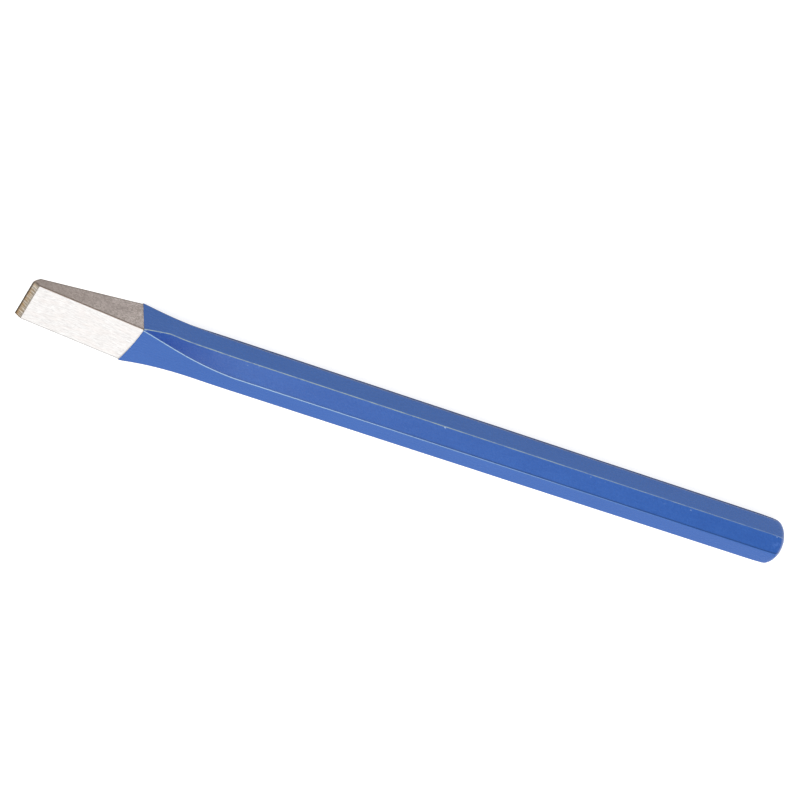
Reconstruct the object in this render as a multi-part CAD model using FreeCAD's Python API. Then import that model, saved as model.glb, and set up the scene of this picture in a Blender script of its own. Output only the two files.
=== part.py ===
import FreeCAD, Part
import math
import os

# Cold chisel: one octagonal steel forging with a coat of lacquer over its shank and head.
# Millimetres. It lies on a wide face, +X runs from the struck head to the cutting edge, +Z is up.
# The origin is on the floor under the middle of its length. Sections are drawn around the
# chisel's own axis, and the finished solids are lifted by half the shank at the end.

LENGTH = 300.0
SHANK_FLATS = 17.0              # across flats, over the lacquer
COAT = 0.12                     # lacquer thickness
EDGE_EASE = 0.6                 # width of the broken long edges of the shank

BLADE_WIDTH = 19.5              # steel across the cheeks of the spread blade
BLADE_ROOT = 10.7               # blade thickness at the lacquer line
BLADE_END = 3.3                 # blade thickness where the cutting bevels start
EDGE_ANGLE = 70.0               # included angle of the two bevels
EDGE_LAND = 0.1                 # blunt land left on the cutting edge
CORNER_WORN = 1.2               # plan radius of the worn corner of the cutting edge
CORNER_CRISP = 0.3              # plan radius of its other corner
GRIND_STEP = 0.2                # depth of the ground faces below the forged skin at their root

# Places along the bar, measured back from the cutting edge.
NECK = 78.0                     # the shank is a plain octagon from the head to here
CHAMFER_NECK = 64.0             # the chamfers start to sweep outwards
CHEEK = 50.0                    # the spread blade reaches its full width
LINE = 38.7                     # the lacquer stops and the ground faces begin

DIE_SLOPE = 0.01                # slope that the forged wide faces have at the lacquer line
EASE_SLOPE = 0.02               # slope at which the broken edges run out past the neck
LINE_BOW = 0.4                  # the line curves this far towards the head on the wide faces
LINE_TILT = 7.4                 # lean of the line across the narrow faces, degrees
LINE_SKEW = 5.5                 # lean of the line across the wide faces, degrees

HEAD_RIM = 5.5                  # length of the head's rounded rim
HEAD_FACE = 3.6                 # radius of the struck face inside the rim
HEAD_CROWN = 0.1                # height of the struck face's crown
HEAD_BULGE = 1.4                # bulge of the rim over a straight taper

REACH = 30.0                    # half size of the cutting solids, which pass well outside the bar

TIP_X = LENGTH / 2
HEAD_X = COAT - LENGTH / 2      # steel apex of the head, under the lacquer
LINE_X = TIP_X - LINE
NECK_X = TIP_X - NECK
HALF_BAR = SHANK_FLATS / 2 - COAT
HALF_WIDTH = BLADE_WIDTH / 2
HALF_FORGED_ROOT = BLADE_ROOT / 2 + GRIND_STEP
FACET_TURN = 45.0               # degrees between neighbouring facets of the octagon
HALF_FACET = math.radians(FACET_TURN / 2)
ORIGIN = FreeCAD.Vector(0, 0, 0)
AXIS = FreeCAD.Vector(1, 0, 0)


def point(x, z):
    """Point of a profile, which is drawn in the XZ plane."""
    return FreeCAD.Vector(x, 0, z)


def line(a, b):
    return Part.makeLine(point(*a), point(*b))


def polyline(*points):
    return [line(a, b) for a, b in zip(points, points[1:])]


def blend(start, end, start_slope, end_slope):
    """Smooth edge between two (x, z) points that leaves and arrives at the given slopes."""
    third = (end[0] - start[0]) / 3
    curve = Part.BezierCurve()
    curve.setPoles([
        point(*start),
        point(start[0] + third, start[1] + start_slope * third),
        point(end[0] - third, end[1] - end_slope * third),
        point(*end),
    ])
    return curve.toShape()


def mirrored(edges):
    """The same profile below the axis."""
    return [edge.mirror(ORIGIN, FreeCAD.Vector(0, 0, 1)) for edge in edges]


def slab(upper, turn, lower=None):
    """Solid between two profiles, turned about the axis. The lower one mirrors the upper unless given."""
    lower = lower or mirrored(upper)
    ends = []
    for pick in (0, -1):
        top = upper[pick].Vertexes[pick].Point
        bottom = lower[pick].Vertexes[pick].Point
        ends.append(Part.makeLine(top, bottom))
    wire = Part.Wire(Part.__sortEdges__(upper + lower + ends))
    solid = Part.Face(wire).extrude(FreeCAD.Vector(0, 2 * REACH, 0))
    solid.translate(FreeCAD.Vector(0, -REACH, 0))
    solid.rotate(ORIGIN, AXIS, turn)
    return solid


def wide_faces(grow):
    """Level on the shank, then drawn down between the forging dies towards the blade."""
    shank = HALF_BAR + grow
    root = HALF_FORGED_ROOT + grow
    return slab([
        line((HEAD_X - grow, shank), (NECK_X, shank)),
        blend((NECK_X, shank), (LINE_X, root), 0.0, -DIE_SLOPE),
        line((LINE_X, root), (TIP_X, root - DIE_SLOPE * LINE)),
    ], 0)


def narrow_faces(grow):
    """Level on the shank, then spreading to the flat trimmed cheeks of the blade."""
    shank = HALF_BAR + grow
    cheek = HALF_WIDTH + grow
    cheek_x = TIP_X - CHEEK
    spread = 3 * (cheek - shank) / (cheek_x - NECK_X)
    return slab([
        line((HEAD_X - grow, shank), (NECK_X, shank)),
        blend((NECK_X, shank), (cheek_x, cheek), 0.0, spread),
        line((cheek_x, cheek), (TIP_X, cheek)),
    ], 90)


def chamfer_faces(grow, turn):
    """Level on the shank, then sweeping outwards until they run off the corners of the blade."""
    shank = HALF_BAR + grow
    corner = (HALF_WIDTH + HALF_FORGED_ROOT + 2 * grow) / math.sqrt(2)
    start_x = TIP_X - CHAMFER_NECK
    slope = 2 * (corner - shank) / (LINE_X - start_x)
    return slab([
        line((HEAD_X - grow, shank), (start_x, shank)),
        blend((start_x, shank), (LINE_X, corner), 0.0, slope),
        line((LINE_X, corner), (TIP_X, corner + slope * LINE)),
    ], turn)


def broken_edges(grow, turn):
    """Narrow flats along two opposite corners of the shank, which run out past the neck."""
    corner = HALF_BAR / math.cos(HALF_FACET)
    level = corner - EDGE_EASE / 2 * math.tan(HALF_FACET) + grow
    return slab(polyline(
        (HEAD_X - grow, level),
        (NECK_X, level),
        (TIP_X, level + EASE_SLOPE * NECK),
    ), turn)


def head_turning(grow):
    """Solid of revolution with the crowned face and bulged rim of the head, open wide behind them."""
    rim_x = HEAD_X + HEAD_RIM
    rim_r = HALF_BAR / math.cos(HALF_FACET) + grow
    apex_x = HEAD_X - grow
    face_x = apex_x + HEAD_CROWN
    run = rim_x - face_x
    rise = rim_r - HEAD_FACE
    chord = math.hypot(run, rise)
    rim_middle = point(
        (rim_x + face_x) / 2 - HEAD_BULGE * rise / chord,
        (rim_r + HEAD_FACE) / 2 + HEAD_BULGE * run / chord,
    )
    crown_r = (HEAD_FACE ** 2 + HEAD_CROWN ** 2) / (2 * HEAD_CROWN)
    half_way = math.asin(HEAD_FACE / crown_r) / 2
    crown_middle = point(
        apex_x + crown_r * (1 - math.cos(half_way)),
        crown_r * math.sin(half_way),
    )
    outline = [
        Part.Arc(point(apex_x, 0), crown_middle, point(face_x, HEAD_FACE)).toShape(),
        Part.Arc(point(face_x, HEAD_FACE), rim_middle, point(rim_x, rim_r)).toShape(),
    ]
    outline += polyline((rim_x, rim_r), (rim_x, REACH), (TIP_X, REACH), (TIP_X, 0), (apex_x, 0))
    return Part.Face(Part.Wire(outline)).revolve(ORIGIN, AXIS, 360)


def blank(grow):
    """The forged bar before grinding, with a layer of thickness grow all over it."""
    solid = wide_faces(grow).common(narrow_faces(grow))
    for turn in (-1, 1):
        solid = solid.common(chamfer_faces(grow, turn * FACET_TURN))
    for turn in (-1.5, -0.5, 0.5, 1.5):
        solid = solid.common(broken_edges(grow, turn * FACET_TURN))
    return solid.common(head_turning(grow)).Solids[0]


def blade_side():
    """Everything on the blade's side of the lacquer line: a large upright drum, slightly out of square."""
    radius = (HALF_WIDTH ** 2 + LINE_BOW ** 2) / (2 * LINE_BOW)
    drum = Part.makeCylinder(radius, 4 * REACH, FreeCAD.Vector(LINE_X - LINE_BOW + radius, 0, -2 * REACH))
    pivot = FreeCAD.Vector(LINE_X, 0, 0)
    drum.rotate(pivot, FreeCAD.Vector(0, 1, 0), -LINE_TILT)
    drum.rotate(pivot, FreeCAD.Vector(0, 0, 1), -LINE_SKEW)
    return drum


def ground_wedge():
    """The space between the two ground faces and the two cutting bevels."""
    half_end = BLADE_END / 2
    bevel_x = TIP_X - (half_end - EDGE_LAND / 2) / math.tan(math.radians(EDGE_ANGLE / 2))
    slope = (BLADE_ROOT / 2 - half_end) / (bevel_x - LINE_X)
    start_x = LINE_X - 2 * LINE_BOW - BLADE_ROOT * math.sin(math.radians(LINE_TILT))
    return slab(polyline(
        (start_x, half_end + slope * (bevel_x - start_x)),
        (bevel_x, half_end),
        (TIP_X, EDGE_LAND / 2),
    ), 0)


def plan_outline():
    """The blade seen from above, with one worn and one crisp corner on the cutting edge."""

    def side(radius, sign):
        start = TIP_X - radius
        turn = radius * math.sqrt(0.5)
        return [
            line((HEAD_X - REACH, sign * REACH), (NECK_X, sign * REACH)),
            line((NECK_X, sign * REACH), (NECK_X + REACH, sign * HALF_WIDTH)),
            line((NECK_X + REACH, sign * HALF_WIDTH), (start, sign * HALF_WIDTH)),
            Part.Arc(
                point(start, sign * HALF_WIDTH),
                point(start + turn, sign * (HALF_WIDTH - radius + turn)),
                point(TIP_X, sign * (HALF_WIDTH - radius)),
            ).toShape(),
        ]

    return slab(side(CORNER_WORN, 1), 90, side(CORNER_CRISP, -1))


def forged_body():
    """The steel: blank, ground faces and bevels, and the corners of the cutting edge."""
    ground_away = blade_side().cut(ground_wedge())
    return blank(0.0).cut(ground_away).common(plan_outline())


def lacquer_coat():
    """The lacquer: a thin even skin over the steel, from the head to the lacquer line."""
    return blank(COAT).cut(blade_side()).cut(forged_body())


os.makedirs("parts", exist_ok=True)
lift = FreeCAD.Vector(0, 0, SHANK_FLATS / 2)
for node, solid in (("forged_body", forged_body()), ("lacquer_coat", lacquer_coat())):
    solid = solid.Solids[0]
    solid.translate(lift)
    solid.exportStep(f"parts/{node}.step")
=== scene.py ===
import math

import bpy
from mathutils import Matrix, Vector, noise


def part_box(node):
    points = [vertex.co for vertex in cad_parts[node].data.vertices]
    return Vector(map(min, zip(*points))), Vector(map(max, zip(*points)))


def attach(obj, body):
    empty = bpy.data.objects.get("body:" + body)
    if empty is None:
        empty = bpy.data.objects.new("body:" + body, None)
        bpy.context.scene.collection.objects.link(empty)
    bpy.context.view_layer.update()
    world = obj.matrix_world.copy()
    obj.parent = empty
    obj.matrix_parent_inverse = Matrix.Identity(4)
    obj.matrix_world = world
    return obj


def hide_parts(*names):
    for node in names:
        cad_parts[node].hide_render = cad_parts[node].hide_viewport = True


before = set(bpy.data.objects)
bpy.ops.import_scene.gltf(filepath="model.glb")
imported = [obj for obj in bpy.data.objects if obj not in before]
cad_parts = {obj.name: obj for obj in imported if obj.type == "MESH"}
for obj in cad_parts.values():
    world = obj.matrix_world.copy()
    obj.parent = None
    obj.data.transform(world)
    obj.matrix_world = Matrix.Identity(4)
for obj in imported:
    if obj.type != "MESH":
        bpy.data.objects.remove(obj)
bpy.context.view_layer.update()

# Cold chisel. Metres, +X from the head to the cutting edge, +Z up, origin on the floor.
# The meshes are swept along the chisel's own axis: each section is a ring of eight facets
# with rounded corners, and every ring has the same number of points.

MM = 0.001
steel_low, steel_high = [Vector(p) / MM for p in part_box("forged_body")]
coat_low, coat_high = [Vector(p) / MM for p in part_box("lacquer_coat")]

# ---- sizes in millimetres, places along X measured in the frame --------------------------
TIP_X = steel_high.x
HEAD_X = coat_low.x
AXIS_Z = (coat_low.z + coat_high.z) / 2
HALF_SHANK = (coat_high.z - coat_low.z) / 2
COAT = steel_low.z - coat_low.z
HALF_WIDTH = (steel_high.y - steel_low.y) / 2
HALF_BAR = HALF_SHANK - COAT

HALF_ROOT = 5.35                # half the blade's thickness at the lacquer line
HALF_END = 1.65                 # the same where the cutting bevels start
HALF_LAND = 0.05                # the same on the cutting edge
EDGE_ANGLE = 70.0               # included angle of the two bevels
EDGE_TWIST = 0.5                # the most that the chamfers twist at the root of the blade
GRIND_STEP = 0.2                # depth of the ground faces below the forged skin
HALF_FORGED_ROOT = HALF_ROOT + GRIND_STEP
DIE_SLOPE = 0.01                # slope of the forged wide faces at the lacquer line
CORNER_WORN = 1.2               # plan radius of the worn corner of the cutting edge
CORNER_CRISP = 0.3              # plan radius of its other corner

NECK_X = TIP_X - 78.0           # the bar is a plain octagon from the head to here
CHAMFER_X = TIP_X - 64.0        # the chamfers start to sweep outwards
TWIST_X = TIP_X - 66.0          # the chamfers start to twist
CHEEK_X = TIP_X - 50.0          # the blade reaches its full width
LINE_X = TIP_X - 38.7           # the lacquer stops and the ground faces begin
BEVEL_X = TIP_X - (HALF_END - HALF_LAND) / math.tan(math.radians(EDGE_ANGLE / 2))
LINE_BOW = 0.4                  # bow of the lacquer line on the wide faces
LINE_TILT = math.tan(math.radians(7.4))     # its lean across the narrow faces
LINE_SKEW = math.tan(math.radians(5.5))     # its lean across the wide faces

HEAD_RIM = 5.5                  # length of the head's rounded rim
HEAD_FACE = 3.6                 # radius of the struck face
HEAD_CROWN = 0.1                # height of the struck face's crown
HEAD_BULGE = 1.4                # bulge of the rim over a straight taper
HEAD_SOFT = 0.7                 # how gently the rim blends into the facets

ROUND_BAR = 0.7                 # radius of the long edges of the bar
ROUND_BLADE = 0.1               # radius of the long edges of the blade
BAR_CHAMFER = 0.3               # least chamfer left at the corners of the bar
BLADE_CHAMFER = 1.6 * ROUND_BLADE
WAVE = 0.025                    # unevenness of the forged surface
INNER_SKIN = 0.1 * COAT         # gap between the steel and the inside of the lacquer

# ---- how finely the surfaces are divided ---------------------------------------------------
FACETS = 8
ARC_STEPS = 6                   # along the arc of each corner
FACET_STOPS = (0.03, 0.2, 0.4, 0.6, 0.8, 0.97)
PER_FACET = ARC_STEPS + 1 + len(FACET_STOPS)
RING = FACETS * PER_FACET
TURN = math.radians(45)
FACE_STEPS = 12                 # rings over the struck face
RIM_STEPS = 40                  # rings over the rim
RIM_SMOOTHINGS = 3
SHANK_STEP = 2.0                # between rings along the shank
ROOT_STEP = 0.9                 # between rings from the neck to the lacquer line
LINE_STEP = 0.6                 # between rings next to the lacquer line
GROUND_STEP = 0.75              # between rings along the ground faces
BEVEL_STEP = 0.2                # between rings along the bevels
LEAN_X = LINE_X - 6.5           # rings start to lean towards the shape of the line
LEAN_FADE = 20.0                # and they stand upright again this far past it


def cubic(x, x0, x1, u0, u1, s0, s1):
    """Smooth curve from (x0, u0) to (x1, u1) with slopes s0 and s1."""
    span = x1 - x0
    t = (x - x0) / span
    return (
        u0 * (1 - 3 * t ** 2 + 2 * t ** 3)
        + u1 * (3 * t ** 2 - 2 * t ** 3)
        + s0 * span * (t - 2 * t ** 2 + t ** 3)
        + s1 * span * (t ** 3 - t ** 2)
    )


def forged_section(x):
    """Half width, half thickness and chamfer distance of the forged bar."""
    w = h = a = HALF_BAR
    if x > NECK_X:
        spread = 3 * (HALF_WIDTH - HALF_BAR) / (CHEEK_X - NECK_X)
        w = cubic(x, NECK_X, CHEEK_X, HALF_BAR, HALF_WIDTH, 0, spread) if x < CHEEK_X else HALF_WIDTH
        if x < LINE_X:
            h = cubic(x, NECK_X, LINE_X, HALF_BAR, HALF_FORGED_ROOT, 0, -DIE_SLOPE)
        else:
            h = HALF_FORGED_ROOT - DIE_SLOPE * (x - LINE_X)
    if x > CHAMFER_X:
        corner = (HALF_WIDTH + HALF_FORGED_ROOT) / math.sqrt(2)
        slope = 2 * (corner - HALF_BAR) / (LINE_X - CHAMFER_X)
        a = cubic(min(x, LINE_X), CHAMFER_X, LINE_X, HALF_BAR, corner, 0, slope)
        a += slope * max(x - LINE_X, 0)
    return w, h, a


def ground_half(x):
    """Half thickness between the ground faces and between the bevels."""
    if x < BEVEL_X:
        return HALF_ROOT + (HALF_END - HALF_ROOT) * (x - LINE_X) / (BEVEL_X - LINE_X)
    return HALF_END + (HALF_LAND - HALF_END) * (x - BEVEL_X) / (TIP_X - BEVEL_X)


def edge_lift(x):
    """How far the chamfers twist at the root: their edges on the cheeks stand this much higher."""
    t = (x - TWIST_X) / (LINE_X - TWIST_X)
    return 4 * EDGE_TWIST * t * (1 - t) if 0 < t < 1 else 0.0


def ring_at(w, h, a, radius, least_chamfer, lift=0.0):
    """Points of one section: each facet's own points, then the arc of the corner after it."""
    a = min(a, (w + h - least_chamfer / math.sqrt(2)) / math.sqrt(2))
    chamfer = math.sqrt(2) * (w + h - math.sqrt(2) * a)
    half_turn = math.tan(TURN / 2)
    radius = min(radius, 0.49 * chamfer / half_turn, 0.49 * h / half_turn)
    e = math.sqrt(2) * a - w + lift
    g = math.sqrt(2) * a - h
    corners = [(w, e), (g, h), (-g, h), (-w, e), (-w, -e), (-g, -h), (g, -h), (w, -e)]
    arcs = []
    for k, (y, z) in enumerate(corners):
        bisector = (k + 0.5) * TURN
        back = radius / math.cos(TURN / 2)
        cy = y - back * math.cos(bisector)
        cz = z - back * math.sin(bisector)
        angles = [(k + i / ARC_STEPS) * TURN for i in range(ARC_STEPS + 1)]
        arcs.append([(cy + radius * math.cos(t), cz + radius * math.sin(t)) for t in angles])
    points = []
    for k in range(FACETS):
        start = arcs[k - 1][-1]
        end = arcs[k][0]
        for t in FACET_STOPS:
            points.append((start[0] + (end[0] - start[0]) * t, start[1] + (end[1] - start[1]) * t))
        points += arcs[k]
    return points


def line_shift(y, z):
    """How far the lacquer line stands from LINE_X, by its bow and its lean."""
    bow = -LINE_BOW * (1 - min(1.0, (y / HALF_WIDTH) ** 2))
    return bow - LINE_TILT * z + LINE_SKEW * y


def wave(x, y, z):
    """Slow unevenness of the forged and drawn surface."""
    p = Vector((x * 0.045, y * 0.11, z * 0.11))
    q = Vector((x * 0.16, y * 0.2, z * 0.2 + 7.0))
    return WAVE * (noise.noise(p) + 0.45 * noise.noise(q))


def soft_min(a, b, k):
    t = max(k - abs(a - b), 0.0) / k
    return min(a, b) - t * t * k / 4


def head_profile(grow):
    """(x, radius) of the turned head from its apex out to the full bar, softened at its corners."""
    apex = HEAD_X + COAT - grow
    face_x = apex + HEAD_CROWN
    rim_x = HEAD_X + COAT + HEAD_RIM
    rim_r = HALF_BAR / math.cos(TURN / 2) + grow
    run, rise = rim_x - face_x, rim_r - HEAD_FACE
    chord = math.hypot(run, rise)
    radius = chord ** 2 / (8 * HEAD_BULGE) + HEAD_BULGE / 2
    sweep_half = math.asin(chord / 2 / radius)
    lean = math.atan2(rise, run)
    shares = [i / FACE_STEPS for i in range(FACE_STEPS)]
    points = [(apex + HEAD_CROWN * share ** 2, HEAD_FACE * share) for share in shares]
    for i in range(RIM_STEPS + 1):
        reach = 2 * radius * math.sin(sweep_half * i / RIM_STEPS)
        heading = lean + sweep_half * (1 - i / RIM_STEPS)
        points.append((face_x + reach * math.cos(heading), HEAD_FACE + reach * math.sin(heading)))
    end_slope = math.tan(lean - sweep_half)
    points += [(rim_x + i, rim_r + i * end_slope) for i in range(1, 1 + math.ceil(HEAD_SOFT / end_slope))]
    for _ in range(RIM_SMOOTHINGS):
        points = [points[0]] + [
            tuple((p[j] + 2 * q[j] + t[j]) / 4 for j in range(2))
            for p, q, t in zip(points, points[1:], points[2:])
        ] + [points[-1]]
    return points


def forged_ring(x, grow, radius):
    """Even points of the forged bar's section, with a layer of thickness grow around it."""
    w, h, a = forged_section(x)
    return ring_at(w + grow, h + grow, a + grow, radius + grow, BAR_CHAMFER, edge_lift(x))


def uneven(x, y, z):
    """The point moved out or in by the unevenness of the surface."""
    k = 1 + wave(x, y, z) / math.hypot(y, z)
    return x, y * k, z * k


def ring_points(x, grow, radius):
    return [uneven(x, y, z) for y, z in forged_ring(x, grow, radius)]


def leaned_ring(x, grow, radius, share):
    """A ring whose points are moved along the bar towards the shape of the lacquer line."""
    out = []
    for i, (_, y, z) in enumerate(ring_points(x, grow, radius)):
        px = x + share * line_shift(y, z)
        out.append(uneven(px, *forged_ring(px, grow, radius)[i]))
    return out


def spaced(start, stop, step):
    count = max(1, round((stop - start) / step))
    return [start + (stop - start) * i / count for i in range(count + 1)]


def bar_rings(grow):
    """Rings from the head's apex to the lacquer line."""
    rings = []
    for x, r in head_profile(grow)[1:]:
        ring = []
        for _, y, z in ring_points(x, grow, ROUND_BAR):
            full = math.hypot(y, z)
            k = soft_min(full, r, HEAD_SOFT) / full if r > HEAD_FACE else r / full
            ring.append((x, y * k, z * k))
        rings.append(ring)
    rim_x = rings[-1][0][0]
    for x in spaced(rim_x + 0.4, NECK_X - 4, SHANK_STEP):
        rings.append(ring_points(x, grow, ROUND_BAR))
    for x in spaced(NECK_X - 3, LEAN_X - 0.2, ROOT_STEP):
        rings.append(ring_points(x, grow, ROUND_BAR))
    for x in spaced(LEAN_X + 0.5, LINE_X, LINE_STEP):
        rings.append(leaned_ring(x, grow, ROUND_BAR, (x - LEAN_X) / (LINE_X - LEAN_X)))
    return rings


def coat_rings():
    """Outer skin, rolled edge at the line, then the inner skin back to the head."""
    outer = bar_rings(COAT)
    lip = []
    for forward, share in ((0.03, 0.93), (0.07, 0.75), (0.1, 0.45), (0.11, 0.1)):
        lip.append(leaned_ring(LINE_X + forward, COAT * share, ROUND_BAR, 1))
    return outer + lip + bar_rings(INNER_SKIN)[::-1]


def blade_ring(x, share):
    """Ring of the ground blade; share is 1 at the lacquer line and falls to 0 along the blade."""
    w = HALF_WIDTH
    base = ring_at(w, ground_half(x), 2 * w, ROUND_BLADE, BLADE_CHAMFER)
    out = []
    for i, (y, z) in enumerate(base):
        px = x + share * line_shift(y, z)
        h = ground_half(px)
        y, z = ring_at(w, h, 2 * w, ROUND_BLADE, min(BLADE_CHAMFER, 0.8 * h))[i]
        corner = CORNER_WORN if y < 0 else CORNER_CRISP
        into = max(0.0, px - (TIP_X - corner))
        if into > 0:
            cut = corner - math.sqrt(max(corner ** 2 - into ** 2, 0.0))
            y *= (w - cut) / w
        out.append((px, y, z))
    return out


def steel_rings():
    """Rings of the bar, the step down to the ground faces, the blade and its bevels."""
    rings = bar_rings(0.0)
    rings.append(leaned_ring(LINE_X + 0.12, 0.0, ROUND_BAR, 1))
    rings.append(leaned_ring(LINE_X + 0.2, 0.0, ROUND_BLADE, 1))
    rings.append(blade_ring(LINE_X + 0.3, 1))
    rings.append(blade_ring(LINE_X + 0.4, 1))
    for x in spaced(LINE_X + 1, BEVEL_X - 0.5, GROUND_STEP):
        rings.append(blade_ring(x, max(0.0, 1 - (x - LINE_X) / LEAN_FADE)))
    for x in (BEVEL_X - 0.12, BEVEL_X - 0.03, BEVEL_X + 0.03, BEVEL_X + 0.1):
        rings.append(blade_ring(x, 0))
    for x in spaced(BEVEL_X + 0.25, TIP_X - 0.3, BEVEL_STEP):
        rings.append(blade_ring(x, 0))
    for into in (0.2, 0.12, 0.07, 0.04, 0.015, 0.0):
        rings.append(blade_ring(TIP_X - into, 0))
    return rings


def across_at(i):
    """Place of a ring's point across its facet, as a number that no two kinds of facet share.

    -1 on a narrow facet, -1 to 0 over the corner, 0 to 1 over a chamfer, 1 to 2 over the next
    corner and 2 on a wide facet.
    """
    facet, step = divmod(i, PER_FACET)
    corner = (step - len(FACET_STOPS)) / ARC_STEPS
    if facet % 4 == 0:
        return corner - 1 if corner >= 0 else -1
    if facet % 4 == 2:
        return 2 - corner if corner >= 0 else 2
    share = FACET_STOPS[step] if corner < 0 else 1
    if facet % 4 == 1:
        return 1 + corner if corner >= 0 else share
    return -corner if corner >= 0 else 1 - share


def sweep(name, rings):
    """Mesh over the rings, with both ends closed.

    Two attributes place its colours: across, as across_at says, and inset, the distance in
    millimetres from the nearer long edge of a facet.
    """
    verts = []
    faces = []
    for ring in rings:
        verts += [(x * MM, y * MM, (z + AXIS_Z) * MM) for x, y, z in ring]
    for r in range(len(rings) - 1):
        a, b = r * RING, (r + 1) * RING
        for i in range(RING):
            j = (i + 1) % RING
            faces.append((a + i, a + j, b + j, b + i))
    for ring, base, flip in ((rings[0], 0, True), (rings[-1], (len(rings) - 1) * RING, False)):
        x = sum(p[0] for p in ring) / RING
        verts.append((x * MM, 0.0, AXIS_Z * MM))
        for i in range(RING):
            j = (i + 1) % RING
            tri = (base + j, base + i, len(verts) - 1) if flip else (base + i, base + j, len(verts) - 1)
            faces.append(tri)
    mesh = bpy.data.meshes.new(name)
    mesh.from_pydata(verts, [], faces)
    mesh.polygons.foreach_set("use_smooth", [True] * len(faces))
    across = mesh.attributes.new("across", "FLOAT", "POINT")
    inset = mesh.attributes.new("inset", "FLOAT", "POINT")
    for r, ring in enumerate(rings):
        for i in range(RING):
            across.data[r * RING + i].value = across_at(i)
            if i % PER_FACET >= len(FACET_STOPS):
                continue
            facet = i - i % PER_FACET
            y0, z0 = ring[facet - 1][1:]
            y1, z1 = ring[facet + len(FACET_STOPS)][1:]
            _, y, z = ring[i]
            nearer = min(math.hypot(y - y0, z - z0), math.hypot(y - y1, z - z1))
            inset.data[r * RING + i].value = nearer
    mesh.validate()
    mesh.update()
    piece = bpy.data.objects.new(name, mesh)
    bpy.context.collection.objects.link(piece)
    return piece


# ---- materials ---------------------------------------------------------------------------

# Base colours in linear red, green and blue.
LACQUER = (0.0165, 0.069, 0.265)
LACQUER_PATCH = (0.0205, 0.079, 0.29)
LACQUER_STREAK = (0.023, 0.088, 0.305)
LACQUER_NARROW_SHADE = (0.0145, 0.062, 0.205)
LACQUER_WIDE_LIGHT = (0.0185, 0.098, 0.36)
LACQUER_HOLLOW_SHADE = (0.0, 0.032, 0.205)
LACQUER_MARK = (0.010, 0.055, 0.235)
LACQUER_FLOOR_SHADE = (0.006, 0.02, 0.07)
LACQUER_RIM_HIGHLIGHT = (0.07, 0.15, 0.42)
LACQUER_CHIP = (0.30, 0.40, 0.55)
SEAM_UPPER = (0.36, 0.42, 0.31)
SEAM_LOWER_SHADE = (0.055, 0.055, 0.06)
SHADE = (0.002, 0.016, 0.06)
RIDGE_HIGHLIGHT = (0.50, 0.68, 0.68)
RIDGE_SHADE = (0.08, 0.075, 0.09)
GROUND_DARK = (0.57, 0.545, 0.535)
GROUND_LIGHT = (0.84, 0.83, 0.82)
GROUND_CLOUD = (0.77, 0.71, 0.68)
GROUND_NEAR_EDGE = (0.20, 0.14, 0.10)
GROUND_FAR_EDGE = (0.26, 0.255, 0.245)
FORGED_DARK = (0.185, 0.155, 0.14)
FORGED_LIGHT = (0.45, 0.40, 0.375)
FORGED_CLOUD = (0.21, 0.18, 0.165)
FORGED_TIP = (0.19, 0.155, 0.135)
FORGED_RIM = (0.085, 0.06, 0.045)
BEVEL_DARK = (0.42, 0.34, 0.26)
BEVEL_LIGHT = (1.0, 0.98, 0.90)
BEVEL_GOLD = (0.64, 0.38, 0.14)
BEVEL_EDGE = (0.07, 0.05, 0.035)
BEVEL_WORN = (0.20, 0.165, 0.135)
BEVEL_FAR = (0.22, 0.15, 0.09)
BROWN = (0.30, 0.25, 0.20)


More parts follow.
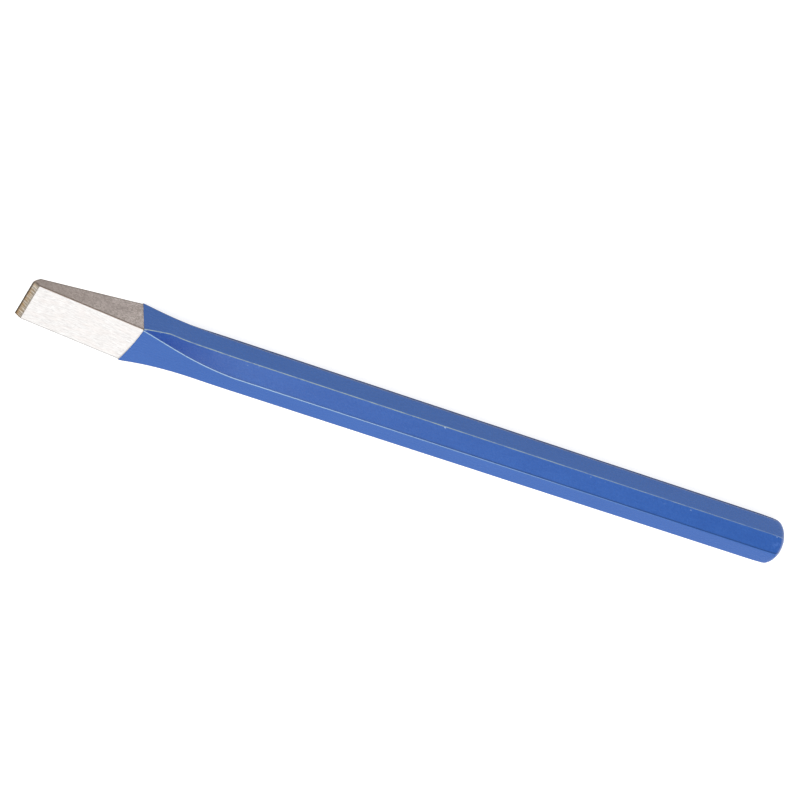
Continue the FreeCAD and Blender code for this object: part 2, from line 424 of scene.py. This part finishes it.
class Net:
    """Short way to write a material's node tree."""

    def __init__(self, name):
        self.material = bpy.data.materials.new(name)
        self.material.use_nodes = True
        self.tree = self.material.node_tree
        self.shader = self.tree.nodes["Principled BSDF"]

    def put(self, value, socket):
        if hasattr(value, "is_output"):
            self.tree.links.new(value, socket)
        elif value is not None:
            socket.default_value = value

    def node(self, kind, **settings):
        made = self.tree.nodes.new(kind)
        for key, value in settings.items():
            setattr(made, key, value)
        return made

    def math(self, operation, a, b):
        made = self.node("ShaderNodeMath", operation=operation)
        self.put(a, made.inputs[0])
        self.put(b, made.inputs[1])
        return made.outputs[0]

    def mapped(self, vector, **settings):
        made = self.node("ShaderNodeMapping")
        self.put(vector, made.inputs["Vector"])
        for key, value in settings.items():
            made.inputs[key].default_value = value
        return made.outputs[0]

    def noise(self, scale, detail, rough=0.55, turned=0.0):
        """Noise with scale grains per millimetre on each axis, turned in degrees about the vertical."""
        place = self.node("ShaderNodeTexCoord").outputs["Object"]
        if turned:
            place = self.mapped(place, Rotation=(0.0, 0.0, math.radians(turned)))
        made = self.node("ShaderNodeTexNoise")
        self.put(self.mapped(place, Scale=[s / MM for s in scale]), made.inputs["Vector"])
        made.inputs["Scale"].default_value = 1.0
        made.inputs["Detail"].default_value = detail
        made.inputs["Roughness"].default_value = rough
        return made.outputs[0]

    def ramp(self, value, low, high, to_low=0.0, to_high=1.0):
        made = self.node("ShaderNodeMapRange", clamp=True)
        for item, socket in zip((value, low, high, to_low, to_high), made.inputs):
            self.put(item, socket)
        return made.outputs[0]

    def mix(self, share, a, b):
        made = self.node("ShaderNodeMix", data_type="RGBA")
        self.put(share, made.inputs[0])
        self.put(a if hasattr(a, "is_output") else (*a, 1.0), made.inputs[6])
        self.put(b if hasattr(b, "is_output") else (*b, 1.0), made.inputs[7])
        return made.outputs[2]

    def attribute(self, name):
        return self.node("ShaderNodeAttribute", attribute_name=name).outputs["Fac"]

    def axis(self, which):
        coords = self.node("ShaderNodeTexCoord")
        split = self.node("ShaderNodeSeparateXYZ")
        self.put(coords.outputs["Object"], split.inputs[0])
        return self.math("MULTIPLY", split.outputs[which], 1 / MM)

    def band(self, value, low, peak, high):
        """1 at the peak, falling to 0 at low and at high."""
        return self.math("MINIMUM", self.ramp(value, low, peak), self.ramp(value, high, peak))

    def product(self, first, *others):
        for other in others:
            first = self.math("MULTIPLY", first, other)
        return first

    def bump(self, height, distance_mm):
        made = self.node("ShaderNodeBump")
        made.inputs["Strength"].default_value = 1.0
        made.inputs["Distance"].default_value = distance_mm * MM
        self.put(height, made.inputs["Height"])
        return made.outputs[0]

    def finish(self, colour, metallic, roughness, normal, **fixed):
        self.put(colour, self.shader.inputs["Base Color"])
        self.put(metallic, self.shader.inputs["Metallic"])
        self.put(roughness, self.shader.inputs["Roughness"])
        self.put(normal, self.shader.inputs["Normal"])
        for key, value in fixed.items():
            self.shader.inputs[key.replace("_", " ")].default_value = value
        return self.material


def blue_lacquer():
    """Glossy blue, with painted light on the wide faces, worn along the edges, and duller with painted
    shade towards the floor.
    """
    net = Net("blue_lacquer")
    across = net.attribute("across")
    x, y, z = (net.axis(which) for which in "XYZ")
    patch = net.noise((0.03, 0.09, 0.09), 4.0)
    fine = net.noise((0.5, 1.2, 1.2), 3.0)
    colour = net.mix(net.ramp(patch, 0.35, 0.65), LACQUER, LACQUER_PATCH)
    streak = net.noise((0.09, 0.9, 0.9), 3.0)
    colour = net.mix(net.ramp(streak, 0.35, 0.7, 0.0, 0.3), colour, LACQUER_STREAK)
    # Painted shade on the narrow faces and painted light on the wide faces.
    narrow_shade = net.ramp(across, -0.3, -0.9)
    colour = net.mix(net.product(narrow_shade, 0.6), colour, LACQUER_NARROW_SHADE)
    wide_light = net.ramp(across, 1.3, 1.9)
    colour = net.mix(net.product(wide_light, 0.35), colour, LACQUER_WIDE_LIGHT)

    # Painted shade in the hollow where the chamfers run out.
    on_chamfer = net.math("MINIMUM", net.ramp(across, -0.2, 0.0), net.ramp(across, 1.25, 0.95))
    towards_line = net.ramp(x, CHAMFER_X - 14, LINE_X - 16)
    towards_ridge = net.ramp(across, 0.0, 0.9, 0.7, 1.0)
    hollow_shade = net.product(on_chamfer, towards_line, towards_ridge)
    colour = net.mix(hollow_shade, colour, LACQUER_HOLLOW_SHADE)
    marks = net.ramp(net.noise((0.25, 1.5, 1.5), 4.0, 0.5, turned=50), 0.38, 0.7, 0.0, 0.5)
    colour = net.mix(net.product(on_chamfer, marks), colour, LACQUER_MARK)

    # Duller towards the floor, and darker there with painted shade.
    under = net.product(net.ramp(z, AXIS_Z - 3.3, AXIS_Z - 4.2), net.ramp(across, -0.6, -0.1))
    colour = net.mix(net.product(under, 0.75), colour, LACQUER_FLOOR_SHADE)

    # Long edges: beside the narrow faces, worn to warm grey on the upper edges and a painted shade line
    # on the lower ones;
    # beside the wide ones, a thin painted shade, and on the ridge a painted highlight at the near upper
    # edge and painted shade elsewhere.
    upper = net.ramp(z, AXIS_Z - 1, AXIS_Z + 1)
    near = net.ramp(y, 1, -1)
    wear_and_shade = net.ramp(net.noise((0.22, 0.4, 0.4), 5.0, 0.75), 0.34, 0.56, 0.3, 0.9)
    seam = net.product(net.band(across, -0.85, -0.5, -0.15), wear_and_shade)
    seam = net.product(seam, net.ramp(x, HEAD_X + 5, 20, 0.4, 1.0))
    colour = net.mix(seam, colour, net.mix(upper, SEAM_LOWER_SHADE, SEAM_UPPER))
    shade = net.product(net.band(across, 0.93, 1.05, 1.3), net.ramp(x, 30, -20, 0.5, 1.0), near, upper)
    colour = net.mix(shade, colour, SHADE)
    # Painted highlight on the near upper ridge, painted shade on the other ridges.
    ridge_light_and_shade = net.product(net.band(across, 1.25, 1.6, 1.9), net.ramp(x, -110, 60, 0.05, 0.65))
    colour = net.mix(ridge_light_and_shade, colour, net.mix(net.product(near, upper), RIDGE_SHADE, RIDGE_HIGHLIGHT))

    # Painted highlight: a pale patch on the upper chamfers where the head's rim starts.
    on_rim = net.band(x, HEAD_X + 1.5, HEAD_X + 4.2, HEAD_X + 7)
    rim_highlight = net.product(on_rim, net.band(across, 0.15, 0.5, 0.9))
    blotch = net.ramp(net.noise((0.8, 0.6, 0.6), 4.0, 0.65), 0.42, 0.62, 0.0, 0.6)
    colour = net.mix(net.product(rim_highlight, blotch, upper), colour, LACQUER_RIM_HIGHLIGHT)

    # A few small chips along the worn edges.
    flaw = net.ramp(net.noise((0.5, 0.8, 0.8), 2.0), 0.70, 0.74)
    chips = net.product(flaw, net.band(across, -0.6, -0.05, 0.25))
    colour = net.mix(chips, colour, LACQUER_CHIP)

    roughness = net.ramp(fine, 0.2, 0.8, 0.24, 0.30)
    roughness = net.math("MAXIMUM", roughness, net.product(under, 0.9))
    peel = net.bump(net.noise((1.1, 1.4, 1.4), 2.0), 0.0025)
    return net.finish(colour, 0.0, roughness, peel, Specular_IOR_Level=0.3)


def ground_steel():
    """Bright steel of the ground faces, brushed along the blade, with a thin line at each side."""
    net = Net("ground_steel")
    inset = net.attribute("inset")
    y = net.axis("Y")
    brush = net.noise((0.35, 2.6, 2.6), 6.0, 0.75)
    cloud = net.noise((0.18, 0.45, 0.45), 4.0)
    pit = net.noise((1.6, 2.4, 2.4), 2.0)
    colour = net.mix(net.ramp(brush, 0.32, 0.62), GROUND_DARK, GROUND_LIGHT)
    colour = net.mix(net.ramp(cloud, 0.42, 0.7, 0.0, 0.45), colour, GROUND_CLOUD)
    specks = net.product(net.ramp(pit, 0.72, 0.78), net.ramp(net.axis("X"), LINE_X + 8, LINE_X + 3))
    colour = net.mix(specks, colour, BROWN)
    far_line = net.product(net.ramp(inset, 0.55, 0.1), net.ramp(y, 6, 8), 0.75)
    colour = net.mix(far_line, colour, GROUND_FAR_EDGE)
    near_line = net.product(net.ramp(inset, 0.2, 0.02), net.ramp(y, -6, -8), 0.8)
    colour = net.mix(near_line, colour, GROUND_NEAR_EDGE)
    roughness = net.ramp(brush, 0.3, 0.7, 0.34, 0.48)
    return net.finish(colour, 1.0, roughness, net.bump(brush, 0.008))


def forged_steel():
    """Mottled brown-grey steel of the cheeks, darker towards the edge and beside the ground faces."""
    net = Net("forged_steel")
    inset = net.attribute("inset")
    grain = net.noise((1.5, 2.2, 2.2), 6.0, 0.75)
    cloud = net.noise((0.16, 0.35, 0.35), 4.0, 0.6)
    colour = net.mix(net.ramp(grain, 0.38, 0.62), FORGED_DARK, FORGED_LIGHT)
    colour = net.mix(net.ramp(cloud, 0.35, 0.65, 0.0, 0.45), colour, FORGED_CLOUD)
    towards_tip = net.ramp(net.axis("X"), LINE_X + 8, TIP_X - 6, 0.0, 0.55)
    colour = net.mix(towards_tip, colour, FORGED_TIP)
    rim = net.ramp(inset, 0.40, 0.10, 0.0, 0.85)
    colour = net.mix(rim, colour, FORGED_RIM)
    roughness = net.ramp(grain, 0.3, 0.7, 0.55, 0.7)
    return net.finish(colour, 0.75, roughness, net.bump(grain, 0.02))


def bevel_steel():
    """Steel of the bevels, scratched across, tinted gold towards the edge and dark at its corners."""
    net = Net("bevel_steel")
    x, y = net.axis("X"), net.axis("Y")
    lines = net.noise((0.25, 1.9, 0.25), 4.0, 0.7)
    tint = net.ramp(x, BEVEL_X, TIP_X)
    colour = net.mix(net.ramp(lines, 0.41, 0.58), BEVEL_DARK, BEVEL_LIGHT)
    gold = net.math("MULTIPLY", tint, net.ramp(net.noise((0.3, 0.5, 0.3), 3.0), 0.3, 0.6))
    colour = net.mix(net.product(gold, 0.95), colour, BEVEL_GOLD)
    edge = net.ramp(x, TIP_X - 0.6, TIP_X - 0.25, 0.0, 0.92)
    colour = net.mix(edge, colour, BEVEL_EDGE)
    corner = net.ramp(y, CORNER_WORN - HALF_WIDTH, 0.4 - HALF_WIDTH, 0.0, 0.85)
    colour = net.mix(corner, colour, BEVEL_WORN)
    inner = net.ramp(x, BEVEL_X + 0.6, BEVEL_X + 0.15, 0.0, 0.4)
    colour = net.mix(inner, colour, BROWN)
    far_corner = net.ramp(y, HALF_WIDTH - 0.9, HALF_WIDTH - 0.2, 0.0, 0.7)
    colour = net.mix(far_corner, colour, BEVEL_FAR)
    roughness = net.ramp(lines, 0.3, 0.7, 0.34, 0.48)
    roughness = net.math("MAXIMUM", roughness, net.product(corner, 0.8))
    return net.finish(colour, 1.0, roughness, net.bump(lines, 0.02))


# ---- pieces ------------------------------------------------------------------------------

coat = sweep("lacquer_skin", coat_rings())
coat.data.materials.append(blue_lacquer())

body = sweep("steel_body", steel_rings())
for made in (forged_steel(), ground_steel(), bevel_steel()):
    body.data.materials.append(made)
GROUND, BEVEL = 1, 2
for poly in body.data.polygons:
    x = poly.center.x / MM
    if x > BEVEL_X and abs(poly.normal.x) > 0.3:
        poly.material_index = BEVEL
    elif x > LINE_X - 3 and across_at(poly.vertices[0] % RING) > 1:
        poly.material_index = GROUND

for piece, node in ((coat, "lacquer_coat"), (body, "forged_body")):
    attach(piece, "root")
    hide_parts(node)

# ---- floor, light and camera ---------------------------------------------------------------

# A round floor whose edge turns up into a low wall, lit gently from below like a light table.
FLOOR_RADIUS = 6.0
WALL_HEIGHT = 1.0
FLOOR_SIDES = 96
FLOOR_GREY = 0.4
FLOOR_GLOW = 0.85
STUDIO_GLOW = 0.45
WHITE = (1.0, 1.0, 1.0, 1.0)
angles = [math.tau * i / FLOOR_SIDES for i in range(FLOOR_SIDES)]
circle = [(FLOOR_RADIUS * math.cos(t), FLOOR_RADIUS * math.sin(t)) for t in angles]
floor_mesh = bpy.data.meshes.new("floor")
floor_mesh.from_pydata(
    [(x, y, 0.0) for x, y in circle] + [(x, y, WALL_HEIGHT) for x, y in circle],
    [],
    [tuple(range(FLOOR_SIDES))] + [
        (i, i + FLOOR_SIDES, (i + 1) % FLOOR_SIDES + FLOOR_SIDES, (i + 1) % FLOOR_SIDES)
        for i in range(FLOOR_SIDES)
    ],
)
floor = bpy.data.objects.new("floor", floor_mesh)
bpy.context.collection.objects.link(floor)
pale = Net("pale_floor")
grey = (FLOOR_GREY, FLOOR_GREY, FLOOR_GREY, 1.0)
pale.finish(grey, 0.0, 0.9, None, Emission_Color=WHITE, Emission_Strength=FLOOR_GLOW)
floor_mesh.materials.append(pale.material)

world = bpy.data.worlds.new("studio")
world.use_nodes = True
background = world.node_tree.nodes["Background"]
background.inputs["Color"].default_value = WHITE
background.inputs["Strength"].default_value = STUDIO_GLOW
bpy.context.scene.world = world
bpy.context.scene.view_settings.view_transform = "Standard"

middle = Vector((0.0, 0.0, AXIS_Z * MM))


def softbox(name, azimuth, elevation, distance, size, glow):
    """Area light facing the chisel: angles in degrees, distance and size in metres.

    Azimuth 0 stands in front, on the -Y side, and azimuth 90 beyond the cutting edge.
    """
    az, el = math.radians(azimuth), math.radians(elevation)
    away = Vector((math.sin(az) * math.cos(el), -math.cos(az) * math.cos(el), math.sin(el)))
    data = bpy.data.lights.new(name, "AREA")
    data.shape = "RECTANGLE"
    data.size, data.size_y = size
    data.energy = glow * math.pi * size[0] * size[1]
    lamp = bpy.data.objects.new(name, data)
    lamp.location = middle + away * distance
    lamp.rotation_euler = away.to_track_quat("Z", "Y").to_euler()
    lamp.visible_camera = False
    bpy.context.collection.objects.link(lamp)


softbox("back_box", 200, 40, 1.5, (2.1, 1.3), 0.86)
softbox("top_box", 0, 84, 1.3, (0.8, 0.8), 7.0)
softbox("edge_box", 147, 31, 1.5, (0.7, 0.6), 0.2)
softbox("front_box", 6, 50, 1.4, (0.76, 0.6), 3.6)
softbox("front_fill", -27, 50, 1.4, (0.24, 0.5), 1.6)
softbox("front_strip", 2, 7, 1.3, (0.8, 0.16), 5.0)

# The camera looks down from the front and is turned almost upside down.
LENS = 117.4
CAM_AIM = Vector((13.5, -10.4, 8.5)) * MM
CAM_DISTANCE = 918.8 * MM
CAM_AZIMUTH = math.radians(24.68)
CAM_ELEVATION = math.radians(37.55)
CAM_ROLL = math.radians(182.65)


def aim_camera():
    az, el = CAM_AZIMUTH, CAM_ELEVATION
    back = Vector((math.sin(az) * math.cos(el), -math.cos(az) * math.cos(el), math.sin(el)))
    level = Vector((math.cos(az), math.sin(az), 0.0))
    right = level * math.cos(CAM_ROLL) + back.cross(level) * math.sin(CAM_ROLL)
    axes = Matrix((right, back.cross(right), back)).transposed().to_4x4()
    data = bpy.data.cameras.new("camera")
    data.lens = LENS
    data.clip_start = 0.01
    camera = bpy.data.objects.new("camera", data)
    camera.matrix_world = Matrix.Translation(CAM_AIM + back * CAM_DISTANCE) @ axes
    bpy.context.collection.objects.link(camera)
    bpy.context.scene.camera = camera


aim_camera()
